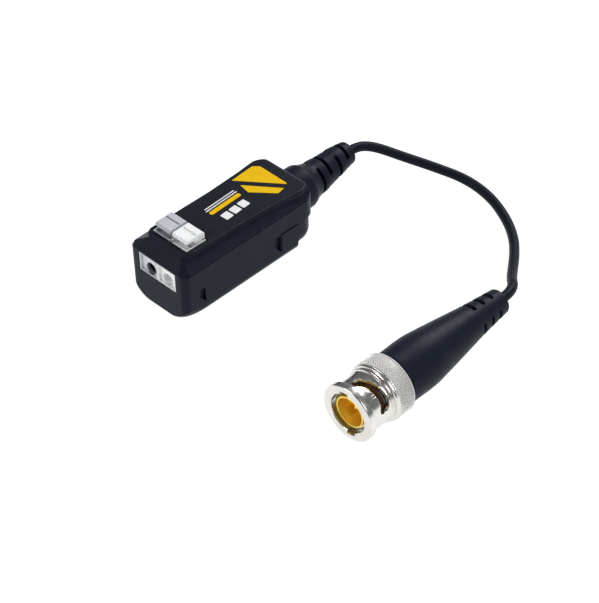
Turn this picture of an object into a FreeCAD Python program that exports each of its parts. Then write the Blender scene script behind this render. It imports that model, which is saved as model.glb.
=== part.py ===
import FreeCAD, Part
import math
import os
import Sketcher
from FreeCAD import Vector, Rotation, Placement

# Passive video balun on a short coaxial pigtail.
# Frame: millimetres, +Z up, origin at the bottom centre of the housing.
# -Y is the terminal end, +Y the cable end, +X the side with the plug.

doc = FreeCAD.newDocument("video_balun")
sheet = doc.addObject("Spreadsheet::Sheet", "Dims")

# ------------------------------------------------------------ driving sizes
SIZES = [
    # housing
    ("shell_long", 43.2), ("shell_wide", 18.8), ("part_line", 13.6),
    ("front_round", 1.85), ("rear_round", 3.7), ("belly_round", 2.6),
    ("wall", 1.4), ("floor_thick", 1.4),
    ("land_high", 0.08), ("land_half", 6.5), ("land_front", -14.5), ("land_rear", 14.9),
    ("heel_y", 15.1), ("heel_top", 8.45), ("heel_half", 9.15), ("heel_end", 21.35),
    ("heel_belly", 4.5), ("heel_round", 4.2),
    ("window_half", 6.2), ("window_low", 8.1),
    ("rim_top", 14.1), ("seam_top", 13.9), ("seam_deep", 0.35),
    ("foot_front_half", 5.56), ("foot_rear_half", 8.2),
    ("foot_front_high", 16.5), ("foot_rear_high", 15.2),
    ("foot_front_y", -18.7), ("foot_rear_y", 21.5),
    ("deck_front_half", 7.0), ("deck_mid_half", 7.28), ("deck_flare_half", 7.87), ("deck_rear_half", 8.85),
    ("deck_front_y", -18.7), ("deck_rear_y", 21.45),
    ("deck_front_high", 17.47), ("deck_rear_high", 16.44),
    ("deck_front_round", 2.4), ("deck_rear_round", 4.2), ("deck_edge", 0.45),
    ("deck_thick", 1.2), ("rear_roll", 1.8),
    ("opening_half", 5.75), ("opening_front", -17.15), ("opening_rear", -10.4),
    ("grip_thick", 0.25),
    # circuit board
    ("board_low", 5.6), ("board_thick", 1.6), ("board_half", 7.5),
    ("board_front", -19.8), ("board_rear", 13.5),
    # terminals and levers
    ("pitch", 5.67), ("terminal_face", -21.45), ("terminal_pocket", -20.8), ("wire_high", 9.75),
    ("wire_round", 1.1), ("funnel_round", 1.65), ("funnel_neck", 1.35), ("funnel_end", -18.5),
    ("frame_top", 17.5),
    ("lever_wide", 4.98), ("lever_top", 19.75),
    ("pivot_y", -12.2), ("pivot_z", 15.2), ("trunnion_round", 0.6),
    # cable, boots
    ("cable_round", 1.25), ("neck_z", 8.65), ("tail_lift", 1.15),
    ("collar_round", 5.75), ("boot_end_y", 41.9),
    ("neck_round", 4.2), ("relief_core", 1.9), ("relief_gap", 1.1),
    # plug
    ("plug_x", 61.3), ("plug_z", 7.41), ("lip_y", -22.3),
    ("lip_round", 7.2), ("lip_thick", 1.7), ("lip_bore", 4.95),
    ("drum_round", 6.4), ("drum_bore", 5.6), ("knurl_round", 7.4),
    ("nut_long", 14.0), ("shoulder_at", 9.6), ("shoulder_end", 11.0),
    ("shoulder_bore", 4.45), ("nut_rear_bore", 6.1),
    ("contact_round", 4.05), ("contact_bore", 3.55), ("contact_front", 0.7), ("spigot_round", 3.85),
    ("pin_round", 0.675), ("pin_front", 2.5),
    ("barrel_round", 4.3), ("flange_round", 5.3),
    ("flange_at", 6.6), ("flange_end", 7.4),
    ("boot_front_y", -8.0), ("boot_rear_y", 28.0), ("boot_tail_round", 3.1),
]
for row, (word, number) in enumerate(SIZES, 1):
    sheet.set("A%d" % row, word)
    sheet.set("B%d" % row, "%g" % number)
    sheet.setAlias("B%d" % row, word)
doc.recompute()


class Size:
    """A number together with the expression that gives it."""

    def __init__(self, value, text=None):
        self.value = float(value)
        self.text = text if text is not None else "(%.6g)" % value

    @staticmethod
    def of(other):
        return other if isinstance(other, Size) else Size(other)

    def __add__(self, o):
        o = Size.of(o)
        return Size(self.value + o.value, "(%s + %s)" % (self.text, o.text))

    __radd__ = __add__

    def __sub__(self, o):
        o = Size.of(o)
        return Size(self.value - o.value, "(%s - %s)" % (self.text, o.text))

    def __rsub__(self, o):
        return Size.of(o) - self

    def __mul__(self, o):
        o = Size.of(o)
        return Size(self.value * o.value, "(%s * %s)" % (self.text, o.text))

    __rmul__ = __mul__

    def __truediv__(self, o):
        o = Size.of(o)
        return Size(self.value / o.value, "(%s / %s)" % (self.text, o.text))

    def __neg__(self):
        return Size(-self.value, "(0 - %s)" % self.text)

    def __float__(self):
        return self.value


class Sizes:
    pass


D = Sizes()
for word, number in SIZES:
    setattr(D, word, Size(number, "Dims." + word))


def bind(obj, prop, size):
    """Set a property, and bind it where its size comes from the sheet."""
    size = Size.of(size)
    if "Dims." in size.text:
        obj.setExpression(prop, size.text)
    elif "." in prop:
        head, tail = prop.split(".", 1)
        place = getattr(obj, head)
        if tail.startswith("Base."):
            setattr(place.Base, tail[5:], size.value)
            setattr(obj, head, place)
    else:
        setattr(obj, prop, size.value)


# ------------------------------------------------------------ small builders
def plane_of(body, role):
    return [o for o in body.Origin.OriginFeatures if o.Role == role][0]


def draw(body, role, points, name, offset=0.0, tilt=0.0):
    """A closed polygon sketch; every corner is placed by two dimensions."""
    sk = body.newObject("Sketcher::SketchObject", name)
    sk.AttachmentSupport = [(plane_of(body, role), "")]
    sk.MapMode = "FlatFace"
    off = Size.of(offset)
    sk.AttachmentOffset = Placement(Vector(0, 0, off.value), Rotation(Vector(1, 0, 0), tilt))
    if "Dims." in off.text:
        sk.setExpression("AttachmentOffset.Base.z", off.text)
    pts = [(Size.of(a), Size.of(b)) for a, b in points]
    n = len(pts)
    for i in range(n):
        a, b = pts[i], pts[(i + 1) % n]
        sk.addGeometry(Part.LineSegment(Vector(a[0].value, a[1].value, 0),
                                        Vector(b[0].value, b[1].value, 0)), False)
    for i in range(n):
        sk.addConstraint(Sketcher.Constraint("Coincident", i, 2, (i + 1) % n, 1))
    for i in range(n):
        for kind, size in (("DistanceX", pts[i][0]), ("DistanceY", pts[i][1])):
            k = sk.addConstraint(Sketcher.Constraint(kind, -1, 1, i, 1, size.value))
            if "Dims." in size.text:
                sk.setExpression("Constraints[%d]" % k, size.text)
    return sk


def new_body(name):
    body = doc.addObject("PartDesign::Body", name)
    body.Label = name
    return body


def pad(body, sk, length, name):
    feat = body.newObject("PartDesign::Pad", name)
    feat.Profile = sk
    bind(feat, "Length", length)
    doc.recompute()
    return feat


def round_edges(body, base, radius, pick, name):
    names = ["Edge%d" % (i + 1) for i, e in enumerate(base.Shape.Edges) if pick(e)]
    feat = body.newObject("PartDesign::Fillet", name)
    feat.Base = (base, names)
    bind(feat, "Radius", radius)
    doc.recompute()
    return feat


def prism_z(name, points, low, high):
    body = new_body(name)
    sk = draw(body, "XY_Plane", points, name + "_sketch", offset=low)
    pad(body, sk, Size.of(high) - low, name + "_pad")
    return body


def prism_x(name, points, low, high):
    body = new_body(name)
    sk = draw(body, "YZ_Plane", points, name + "_sketch", offset=low)
    pad(body, sk, Size.of(high) - low, name + "_pad")
    return body


def turned(name, points, x, z):
    """A profile of (radius, y) turned about an axis parallel to Y."""
    body = new_body(name)
    sk = draw(body, "XY_Plane", points, name + "_sketch")
    feat = body.newObject("PartDesign::Revolution", name + "_turn")
    feat.Profile = sk
    feat.ReferenceAxis = (sk, ["V_Axis"])
    feat.Angle = 360
    bind(body, "Placement.Base.x", x)
    bind(body, "Placement.Base.z", z)
    doc.recompute()
    return body


def box(name, x0, x1, y0, y1, z0, z1):
    b = doc.addObject("Part::Box", name)
    b.Label = name
    x0, x1, y0, y1, z0, z1 = [Size.of(v) for v in (x0, x1, y0, y1, z0, z1)]
    bind(b, "Length", x1 - x0)
    bind(b, "Width", y1 - y0)
    bind(b, "Height", z1 - z0)
    bind(b, "Placement.Base.x", x0)
    bind(b, "Placement.Base.y", y0)
    bind(b, "Placement.Base.z", z0)
    return b


def cyl(name, way, radius, start, end, u, v, radius2=None, angle=None, first=0.0):
    """Cylinder or cone along X, Y or Z from start to end.

    u, v are the two other coordinates in alphabetical order.  With angle, a
    sector from first to first + angle; about Y that is counted from +Z
    towards +X.
    """
    kind = "Part::Cylinder" if radius2 is None else "Part::Cone"
    c = doc.addObject(kind, name)
    c.Label = name
    start, end, u, v = [Size.of(k) for k in (start, end, u, v)]
    if radius2 is None:
        bind(c, "Radius", radius)
    else:
        bind(c, "Radius1", radius)
        bind(c, "Radius2", radius2)
    bind(c, "Height", end - start)
    if angle is not None:
        c.Angle = angle
    if way == "x":
        rot = Rotation(Vector(0, 1, 0), 90)
        at = (start, u, v)
    elif way == "y":
        rot = Rotation(Vector(1, 0, 0), -90) * Rotation(Vector(0, 0, 1), first - 90.0)
        at = (u, start, v)
    else:
        rot = Rotation(Vector(0, 0, 1), first)
        at = (u, v, start)
    c.Placement = Placement(Vector(0, 0, 0), rot)
    for axis, size in zip("xyz", at):
        bind(c, "Placement.Base." + axis, size)
    return c


def fused(name, shapes):
    f = doc.addObject("Part::MultiFuse", name)
    f.Label = name
    f.Shapes = shapes
    doc.recompute()
    return f


def cut(name, base, tools):
    tool = tools[0] if len(tools) == 1 else fused(name + "_tools", tools)
    c = doc.addObject("Part::Cut", name)
    c.Label = name
    c.Base = base
    c.Tool = tool
    doc.recompute()
    return c


NODES = []


def keep(obj, name):
    obj.Label = name
    NODES.append(obj)
    return obj


def flat_at(edge, axis, value, tol=0.02):
    box_ = edge.BoundBox
    low, high = {"x": (box_.XMin, box_.XMax), "y": (box_.YMin, box_.YMax),
                 "z": (box_.ZMin, box_.ZMax)}[axis]
    return abs(low - value) < tol and abs(high - value) < tol


def upright(edge):
    b = edge.BoundBox
    return b.XLength < 1e-4 and b.YLength < 1e-4


half_long = D.shell_long / 2
half_wide = D.shell_wide / 2

# ------------------------------------------------------------ lower shell
# A tray: rounded belly, smaller rounding at the terminal end, larger at the
# cable end, open at the parting line.  Below the side ledge the cable end
# steps in and is rounder.
def plan_body(name, half, front_y, rear_y, low, high, front_r, rear_r):
    """An upright block with its own corner rounding at either end."""
    body = new_body(name)
    sk_ = draw(body, "XY_Plane", [(-half, front_y), (half, front_y), (half, rear_y), (-half, rear_y)],
               name + "_plan", offset=low)
    f = pad(body, sk_, Size.of(high) - low, name + "_pad")
    middle = (Size.of(front_y).value + Size.of(rear_y).value) / 2
    if front_r is not None:
        f = round_edges(body, f, front_r, lambda e: upright(e) and e.CenterOfMass.y < middle, name + "_front")
    if rear_r is not None:
        f = round_edges(body, f, rear_r, lambda e: upright(e) and e.CenterOfMass.y > middle, name + "_rear")
    return body


def common(name, a, b):
    c = doc.addObject("Part::Common", name)
    c.Base = a
    c.Tool = b
    doc.recompute()
    return c


tray = new_body("tray")
sk = draw(tray, "XY_Plane", [(-half_wide, -half_long), (half_wide, -half_long),
                             (half_wide, half_long), (-half_wide, half_long)], "tray_outline")
block = pad(tray, sk, D.part_line, "tray_block")
inner_x = half_wide - D.wall
inner_y = half_long - D.wall
hollow = draw(tray, "XY_Plane",
              [(-inner_x, -15.5), (inner_x, -15.5), (inner_x, 13.9), (6.4, 13.9), (6.4, 17.0),
               (-6.4, 17.0), (-6.4, 13.9), (-inner_x, 13.9)],
              "tray_hollow", offset=D.part_line)
scoop = tray.newObject("PartDesign::Pocket", "tray_pocket")
scoop.Profile = hollow
bind(scoop, "Length", D.part_line - D.floor_thick)
doc.recompute()
hollow_front = draw(tray, "XY_Plane",
                    [(-inner_x, -inner_y + 0.5), (-inner_x + 0.5, -inner_y), (inner_x - 0.5, -inner_y),
                     (inner_x, -inner_y + 0.5), (inner_x, -15.4), (-inner_x, -15.4)],
                    "tray_hollow_front", offset=D.part_line)
scoop_front = tray.newObject("PartDesign::Pocket", "tray_pocket_front")
scoop_front.Profile = hollow_front
bind(scoop_front, "Length", D.part_line - 3.8)
doc.recompute()
hollow_rear = draw(tray, "XY_Plane",
                   [(-6.4, 16.9), (6.4, 16.9), (6.4, 18.8), (5.3, inner_y), (-5.3, inner_y), (-6.4, 18.8)],
                   "tray_hollow_rear", offset=D.part_line)
scoop_rear = tray.newObject("PartDesign::Pocket", "tray_pocket_rear")
scoop_rear.Profile = hollow_rear
bind(scoop_rear, "Length", D.part_line - 3.2)
doc.recompute()
tray_plan = plan_body("tray_plan", half_wide, -half_long, half_long, -1.0, D.part_line + 1,
                      D.front_round, D.rear_round)
tray_upright = common("tray_upright", tray, tray_plan)


def belly_wire(y, r):
    """Cross-section of the tray: flat underside with a rounded belly of radius r at each side."""
    w, top, k = half_wide.value, D.part_line.value + 2, math.sqrt(0.5)
    edges = [Part.LineSegment(Vector(-w, y, top), Vector(-w, y, r)),
             Part.Arc(Vector(-w, y, r), Vector(-w + r - r * k, y, r - r * k), Vector(-w + r, y, 0)),
             Part.LineSegment(Vector(-w + r, y, 0), Vector(w - r, y, 0)),
             Part.Arc(Vector(w - r, y, 0), Vector(w - r + r * k, y, r - r * k), Vector(w, y, r)),
             Part.LineSegment(Vector(w, y, r), Vector(w, y, top)),
             Part.LineSegment(Vector(w, y, top), Vector(-w, y, top))]
    return Part.Wire([e.toShape() for e in edges])


# the belly is rounder towards the terminal end
belly = doc.addObject("Part::Feature", "belly_form")
extra = [(-21.6, 3.7), (-21.3, 3.0), (-20.9, 2.4), (-20.3, 1.75), (-19.6, 1.25), (-18.7, 0.8), (-17.6, 0.4),
         (-16.2, 0.1), (-14.8, 0.0), (21.7, 0.0)]
belly.Shape = Part.makeLoft([belly_wire(y, D.belly_round.value + r) for y, r in extra], True, True)
belly.Placement = Placement()
tray_form = common("tray_form", tray_upright, belly)
# the cable end below the ledge
heel = new_body("heel")
sk = draw(heel, "XY_Plane", [(-D.heel_half, 10.0), (D.heel_half, 10.0), (D.heel_half, D.heel_end),
                             (-D.heel_half, D.heel_end)], "heel_plan")
heel_blk = pad(heel, sk, 12.0, "heel_pad")
heel_blk = round_edges(heel, heel_blk, D.heel_belly,
                       lambda e: flat_at(e, "z", 0) and abs(abs(e.CenterOfMass.x) - 9.15) < 0.01, "heel_sides")
heel_blk = round_edges(heel, heel_blk, D.heel_round,
                       lambda e: flat_at(e, "y", 21.35) and not flat_at(e, "z", 12.0), "heel_back")
heel_space = box("heel_space", -11, 11, D.heel_y, 23, -1, D.heel_top)
heel_trim = cut("heel_trim", heel_space, [heel])

# board posts with locating pins, standing on the floor
posts = []
for k, (px, py) in enumerate([(-6.1, -9.0), (6.1, -9.0), (-6.1, 11.5), (6.1, 11.5)]):
    posts.append(cyl("post_%d" % k, "z", 1.2, D.floor_thick - 0.2, D.board_low, px, py))
    posts.append(cyl("post_pin_%d" % k, "z", 0.6, D.board_low - 0.2,
                     D.board_low + D.board_thick + 0.4, px, py))
# thin grip pads on the outer sides, towards the cable end
grips = []
for side in (-1, 1):
    lo, hi = (half_wide - 0.3, half_wide + D.grip_thick) if side > 0 else \
             (-half_wide - D.grip_thick, -half_wide + 0.3)
    grips.append(prism_x("grip_%s" % ("r" if side > 0 else "l"),
                         [(9.4, 3.3), (D.heel_y, 3.3), (D.heel_y, D.heel_top), (9.4, D.heel_top)], lo, hi))
# notch for the terminals, slot for the boot neck, finger recesses in the sides
window = box("window", -D.window_half, D.window_half, -half_long - 1, -inner_y + 0.05,
             D.window_low, D.part_line + 1)
neck_slot = cyl("neck_slot", "y", D.neck_round + 0.05, inner_y - 0.6, half_long + 1, 0.0, D.neck_z)
neck_open = box("neck_open", -D.neck_round - 0.05, D.neck_round + 0.05, inner_y - 0.05, half_long + 1,
                D.neck_z, D.part_line + 1)
dents = []
for side in (-1, 1):
    tag = "r" if side > 0 else "l"
    lo, hi = (half_wide - 0.8, half_wide + 0.2) if side > 0 else (-half_wide - 0.2, -half_wide + 0.8)
    dents.append(prism_x("dent_rear_" + tag, [(7.3, 5.7), (9.2, 3.3), (9.2, 8.2), (7.3, 8.5)], lo, hi))
    dents.append(prism_x("dent_front_" + tag, [(-17.2, 5.9), (-15.3, 3.7), (-15.3, 7.95), (-17.2, 7.9)], lo, hi))
# the underside stands on a flat rectangular land, a hair proud of the belly
skim = box("skim", -12, 12, -24, 24, -1, D.land_high)
land = box("land", -D.land_half, D.land_half, D.land_front, D.land_rear, -2, 1)
skim_trim = cut("skim_trim", skim, [land])
shell_solid = fused("shell_solid", [tray_form] + posts + grips)
lower_shell = keep(cut("lower_shell", shell_solid,
                       [window, neck_slot, neck_open, heel_trim, skim_trim] + dents), "lower_shell")

# ------------------------------------------------------------ upper cover
# A rim, a shoulder that slopes up to the foot of the raised deck, and the
# deck itself, whose top falls towards the cable end.
outline = new_body("cover_outline")
sk = draw(outline, "XY_Plane", [(-half_wide, -half_long), (half_wide, -half_long),
                                (half_wide, half_long), (-half_wide, half_long)],
          "outline_sketch", offset=D.part_line)
blk = pad(outline, sk, 6.0, "outline_pad")
blk = round_edges(outline, blk, D.front_round, lambda e: upright(e) and e.CenterOfMass.y < 0, "outline_front")
blk = round_edges(outline, blk, D.rear_round, lambda e: upright(e) and e.CenterOfMass.y > 0, "outline_rear")

tilt_run = D.foot_rear_y - D.foot_front_y
foot_tilt = -math.degrees(math.atan((D.foot_front_high.value - D.foot_rear_high.value) / tilt_run.value))
stretch = 1.0 / math.cos(math.radians(foot_tilt))
foot_mid = D.foot_front_high + (D.foot_rear_high - D.foot_front_high) * (-D.foot_front_y) / tilt_run
slope = new_body("cover_slope")
rim = draw(slope, "XY_Plane", [(-half_wide, -half_long), (half_wide, -half_long),
                               (half_wide, half_long), (-half_wide, half_long)],
           "slope_rim", offset=D.part_line)
pad(slope, rim, D.rim_top - D.part_line, "slope_rim_pad")
low = draw(slope, "XY_Plane", [(-half_wide, -half_long), (half_wide, -half_long),
                               (half_wide, half_long), (-half_wide, half_long)],
           "slope_low", offset=D.rim_top)
high = draw(slope, "XY_Plane",
            [(-D.foot_front_half, D.foot_front_y * stretch), (D.foot_front_half, D.foot_front_y * stretch),
             (D.foot_rear_half, D.foot_rear_y * stretch), (-D.foot_rear_half, D.foot_rear_y * stretch)],
            "slope_high", offset=foot_mid, tilt=foot_tilt)
rise = slope.newObject("PartDesign::AdditiveLoft", "slope_loft")
rise.Profile = low
rise.Sections = [high]
rise.Ruled = True
doc.recompute()
shoulder_full = common("cover_shoulder", slope, outline)


def facet(name, side):
    """Slab above the oblique plane that trims a front corner of the shoulder."""
    a = Vector(D.foot_front_half.value, D.foot_front_y.value, D.foot_front_high.value)
    b = Vector(half_wide.value, -19.5, D.rim_top.value + 0.05)
    c = Vector(7.85, -half_long.value, D.rim_top.value - 0.15)
    n = (c - a).cross(b - a)
    n.normalize()
    if n.z < 0:
        n = n * -1.0
    u = b - a
    u.normalize()
    v = n.cross(u)
    m = (a + b + c) * (1.0 / 3.0)
    corners = [m + u * (8.0 * i) + v * (8.0 * j) for i, j in ((-1, -1), (1, -1), (1, 1), (-1, 1))]
    corners = [Vector(p.x * side, p.y, p.z) for p in corners]
    n = Vector(n.x * side, n.y, n.z)
    f = doc.addObject("Part::Feature", name)
    f.Shape = Part.Face(Part.makePolygon(corners + [corners[0]])).extrude(n * 7.0)
    f.Placement = Placement()
    return f


shoulder = cut("cover_shoulder_trimmed", shoulder_full, [facet("facet_r", 1), facet("facet_l", -1)])

deck_run = D.deck_rear_y - D.deck_front_y


def deck_z(y, drop):
    """Height of the deck top at y, lowered by drop."""
    return (D.deck_front_high + (D.deck_rear_high - D.deck_front_high) * (Size.of(y) - D.deck_front_y)
            / deck_run - drop)


def deck_body(name, inset, drop, base_z, round_front, round_rear, edge):
    """The deck as a tapered upright block whose top is cut to the slope."""
    body = new_body(name)
    right = [(D.deck_front_half - inset, D.deck_front_y + inset), (D.deck_mid_half - inset, Size(2.0)),
             (D.deck_flare_half - inset, Size(12.0)), (D.deck_rear_half - inset, D.deck_rear_y - inset)]
    sk_ = draw(body, "XY_Plane", right + [(-a, b) for a, b in right[::-1]], name + "_plan", offset=base_z)
    f = pad(body, sk_, 5.0, name + "_pad")
    f = round_edges(body, f, round_front, lambda e: upright(e) and e.CenterOfMass.y < -15, name + "_front")
    f = round_edges(body, f, round_rear, lambda e: upright(e) and e.CenterOfMass.y > 17, name + "_rear")
    over = draw(body, "YZ_Plane", [(-30, deck_z(-30, drop)), (30, deck_z(30, drop)), (30, 24), (-30, 24)],
                name + "_over", offset=20)
    p = body.newObject("PartDesign::Pocket", name + "_trim")
    p.Profile = over
    p.Length = 40
    doc.recompute()
    if edge is not None:
        top = []
        for i, e in enumerate(p.Shape.Edges):
            ok = True
            for v in e.Vertexes:
                if abs(v.Z - deck_z(v.Y, drop).value) > 0.01:
                    ok = False
            if ok and e.CenterOfMass.z > base_z.value + 1:
                top.append("Edge%d" % (i + 1))
        fl = body.newObject("PartDesign::Fillet", name + "_edge")
        fl.Base = (p, top)
        bind(fl, "Radius", edge)
        doc.recompute()
    return body


deck_full = deck_body("deck", Size(0.0), Size(0.0), D.part_line, D.deck_front_round, D.deck_rear_round, D.deck_edge)
# bevel along the deck's front edge, above the hood
brow = prism_x("brow", [(-17.1, 18.4), (-19.5, 15.55), (-20.5, 15.55), (-20.5, 18.4)], -12.0, 12.0)
deck = cut("deck_trimmed", deck_full, [brow])
deck_hollow = deck_body("deck_hollow", D.deck_thick * 0.8, D.deck_thick, D.part_line - 0.3,
                        D.deck_front_round - 1.0, D.deck_rear_round - 1.0, None)
lever_opening = box("lever_opening", -D.opening_half, D.opening_half, D.opening_front, D.opening_rear,
                    D.part_line - 1, D.deck_front_high + 2)
# the deck rolls over into the rear wall
roll_y = D.deck_rear_y - D.rear_roll
roll_z = deck_z(roll_y, D.rear_roll)
roll = cut("rear_roll", box("roll_space", -12, 12, roll_y, 23, roll_z, 20),
           [cyl("roll_form", "x", D.rear_roll, -13, 13, roll_y, roll_z)])
# groove along the parting line
seam_form = plan_body("seam_form", half_wide - D.seam_deep, -half_long - 1, half_long - D.seam_deep,
                      D.part_line - 0.2, D.seam_top + 0.2, None, D.rear_round - D.seam_deep)
seam = cut("seam", box("seam_space", -10.5, 10.5, -20.4, 23, D.part_line - 0.1, D.seam_top), [seam_form])
skirts = [box("skirt_r", 7.3, 7.85, -9.0, 12.5, D.part_line - 1.3, D.part_line + 0.3),
          box("skirt_l", -7.85, -7.3, -9.0, 12.5, D.part_line - 1.3, D.part_line + 0.3)]
tongue = box("tongue", -4.1, 4.1, inner_y + 0.2, half_long - 0.2, D.neck_z + D.neck_round + 0.1, D.part_line + 0.3)
cover_solid = fused("cover_solid", [shoulder, deck, tongue] + skirts)
upper_cover = keep(cut("upper_cover", cover_solid, [deck_hollow, lever_opening, roll, seam]), "upper_cover")

# ------------------------------------------------------------ circuit board
board_top = D.board_low + D.board_thick
board = box("board_blank", -D.board_half, D.board_half, D.board_front, D.board_rear, D.board_low, board_top)
holes = []
for k, (px, py) in enumerate([(-6.1, -9.0), (6.1, -9.0), (-6.1, 11.5), (6.1, 11.5)]):
    holes.append(cyl("board_hole_%d" % k, "z", 0.7, D.board_low - 1, board_top + 1, px, py))
for side, tag in ((-1, "l"), (1, "r")):
    holes.append(cyl("solder_hole_" + tag, "z", 0.55, D.board_low - 1, board_top + 1, D.pitch * (side * 0.5), -13.5))
circuit_board = keep(cut("circuit_board", board, holes), "circuit_board")


# ------------------------------------------------------------ wire terminals
def span(side, a, b):
    """An x range measured outward from the middle, on the given side."""
    a, b = Size.of(a), Size.of(b)
    return (a, b) if side > 0 else (-b, -a)


def strip(path, thick):
    """Outline of a bent strip of even thickness along a path of points."""
    left, right = [], []
    n = len(path)
    for i in range(n):
        dirs = []
        if i > 0:
            dx, dy = path[i][0] - path[i - 1][0], path[i][1] - path[i - 1][1]
            m = math.hypot(dx, dy)
            dirs.append((dx / m, dy / m))
        if i < n - 1:
            dx, dy = path[i + 1][0] - path[i][0], path[i + 1][1] - path[i][1]
            m = math.hypot(dx, dy)
            dirs.append((dx / m, dy / m))
        tx, ty = sum(d[0] for d in dirs), sum(d[1] for d in dirs)
        m = math.hypot(tx, ty)
        tx, ty = tx / m, ty / m
        k = thick / 2 / max(0.5, tx * dirs[0][0] + ty * dirs[0][1])
        left.append((path[i][0] - ty * k, path[i][1] + tx * k))
        right.append((path[i][0] + ty * k, path[i][1] - tx * k))
    return left + right[::-1]


half_pitch = D.pitch / 2
for side, colour in ((-1, "grey"), (1, "white")):
    mid = half_pitch * side
    x0, x1 = span(side, 0.03, 6.14)
    nose = box("nose_" + colour, x0, x1, D.terminal_face, -20.0, D.window_low + 0.05, D.part_line - 0.08)
    lower = box("lower_" + colour, x0, x1, -20.1, -10.5, board_top, D.part_line - 0.15)
    x0, x1 = span(side, 0.03, 5.6)
    waist = box("waist_" + colour, x0, x1, -16.7, -10.5, D.part_line - 0.3, 15.9)
    x0, x1 = span(side, 0.03, 5.65)
    head = box("head_" + colour, x0, x1, -17.0, -11.0, D.part_line - 0.3, D.frame_top)
    blank = fused("terminal_blank_" + colour, [nose, lower, waist, head])
    # wire way: shallow pocket, funnel, bore, then the clamping chamber
    x0, x1 = span(side, 0.36, 5.8)
    pocket = box("pocket_" + colour, x0, x1, D.terminal_face - 0.5, D.terminal_pocket, D.window_low + 0.3,
                 D.part_line - 0.4)
    funnel = cyl("funnel_" + colour, "y", D.funnel_round, D.terminal_pocket - 0.1, D.funnel_end,
                 mid, D.wire_high, radius2=D.funnel_neck)
    bore = cyl("wire_bore_" + colour, "y", D.wire_round, D.funnel_end - 0.3, -16.0, mid, D.wire_high)
    notch_x0, notch_x1 = span(side, 0.0, 0.95 if side > 0 else 0.12)
    notch = box("notch_" + colour, notch_x0, notch_x1, -17.5, -16.55, 15.95, D.frame_top + 1)
    x0, x1 = span(side, 0.75, 4.92)
    chamber = box("chamber_" + colour, x0, x1, -16.5, -11.1, 8.0, 13.0)
    x0, x1 = span(side, 0.65, 5.08)
    well = box("well_" + colour, x0, x1, -14.4, -11.0, 12.9, D.frame_top + 1)
    x0, x1 = span(side, 0.25, 5.42)
    seat = box("seat_" + colour, x0, x1, -16.6, -10.9, 16.1, D.frame_top + 1)
    pivot_x0, pivot_x1 = span(side, 0.28, 5.36)
    pivot = cyl("pivot_hole_" + colour, "x", D.trunnion_round + 0.06, pivot_x0, pivot_x1, D.pivot_y, D.pivot_z)
    solder = cyl("tail_hole_" + colour, "z", 0.5, board_top - 1, 8.1, mid, -13.5)
    keep(cut("terminal_body_" + colour, blank, [pocket, funnel, bore, notch, chamber, well, seat, pivot, solder]),
         "terminal_body_" + colour)

    # current bar on the chamber floor with its solder tail
    x0, x1 = span(side, 1.2, 4.45)
    bar = box("bar_" + colour, x0, x1, -15.9, -11.6, 8.0, 8.4)
    tail = cyl("bar_tail_" + colour, "z", 0.45, 4.9, 8.2, mid, -13.5)
    keep(fused("contact_bar_" + colour, [bar, tail]), "contact_bar_" + colour)

    # leaf clamp: flat against the chamber roof, folded down on to the bar
    x0, x1 = span(side, 1.3, 4.35)
    leaf = prism_x("clamp_spring_" + colour,
                   strip([(-16.0, 12.55), (-12.3, 12.55), (-11.7, 12.25), (-11.6, 11.7), (-12.2, 10.9),
                          (-14.75, 8.6)], 0.25), x0, x1)
    keep(leaf, "clamp_spring_" + colour)

    # lever: finger pad, groove, rear barrel, stem and two trunnions
    lx0, lx1 = span(side, half_pitch - D.lever_wide / 2, half_pitch + D.lever_wide / 2)
    pad_part = prism_x("lever_pad_" + colour,
                       [(-16.5, 18.85), (-16.5, D.lever_top - 0.3), (-16.2, D.lever_top), (-11.45, D.lever_top),
                        (-11.0, D.lever_top - 0.45), (-11.0, 17.75), (-13.9, 17.75), (-14.5, 18.85)], lx0, lx1)
    x0, x1 = span(side, 0.8, 4.95)
    stem = prism_x("lever_stem_" + colour,
                   [(-13.4, 18.0), (-12.95, 14.2), (-12.75, 13.6), (-11.9, 13.6), (-11.55, 14.2), (-11.45, 18.0)],
                   x0, x1)
    x0, x1 = span(side, 0.34, 5.3)
    trunnion = cyl("trunnion_" + colour, "x", D.trunnion_round, x0, x1, D.pivot_y, D.pivot_z)
    x0, x1 = span(side, half_pitch - 2.15, half_pitch + 2.15)
    groove = box("groove_" + colour, x0, x1, -13.5, -13.0, 18.95, D.lever_top + 1)
    solid = fused("lever_solid_" + colour, [pad_part, stem, trunnion])
    keep(cut("lever_" + colour, solid, [groove]), "lever_" + colour)

# ------------------------------------------------------------ balun circuit
ring_z0, ring_z1 = 7.95, 10.35
ring = cyl("ring_outer", "z", 4.4, ring_z0, ring_z1, 0.0, -1.5)
ring_hole = cyl("ring_hole", "z", 2.5, ring_z0 - 1, ring_z1 + 1, 0.0, -1.5)
choke_core = keep(cut("choke_core", ring, [ring_hole]), "choke_core")
for tag, first in (("a", -65.0), ("b", 115.0)):
    wrap = cyl("wrap_" + tag, "z", 5.0, board_top, ring_z1 + 0.6, 0.0, -1.5, angle=130, first=first)
    wrap_core = cyl("wrap_core_" + tag, "z", 4.4, ring_z0, ring_z1, 0.0, -1.5)
    wrap_in = cyl("wrap_in_" + tag, "z", 1.9, board_top - 1, ring_z1 + 2, 0.0, -1.5)
    # the winding wraps the ring section: inner bore is smaller than the ring's own hole
    inner_fill = cyl("wrap_fill_" + tag, "z", 2.5, ring_z0 - 0.5, ring_z1 + 0.5, 0.0, -1.5)
    ring_space = cut("ring_space_" + tag, wrap_core, [inner_fill])
    keep(cut("choke_winding_" + tag, wrap, [ring_space, wrap_in]), "choke_winding_" + tag)
filter_capacitor = keep(box("filter_capacitor", 3.2, 5.9, 5.6, 9.4, board_top, 10.4), "filter_capacitor")
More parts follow.
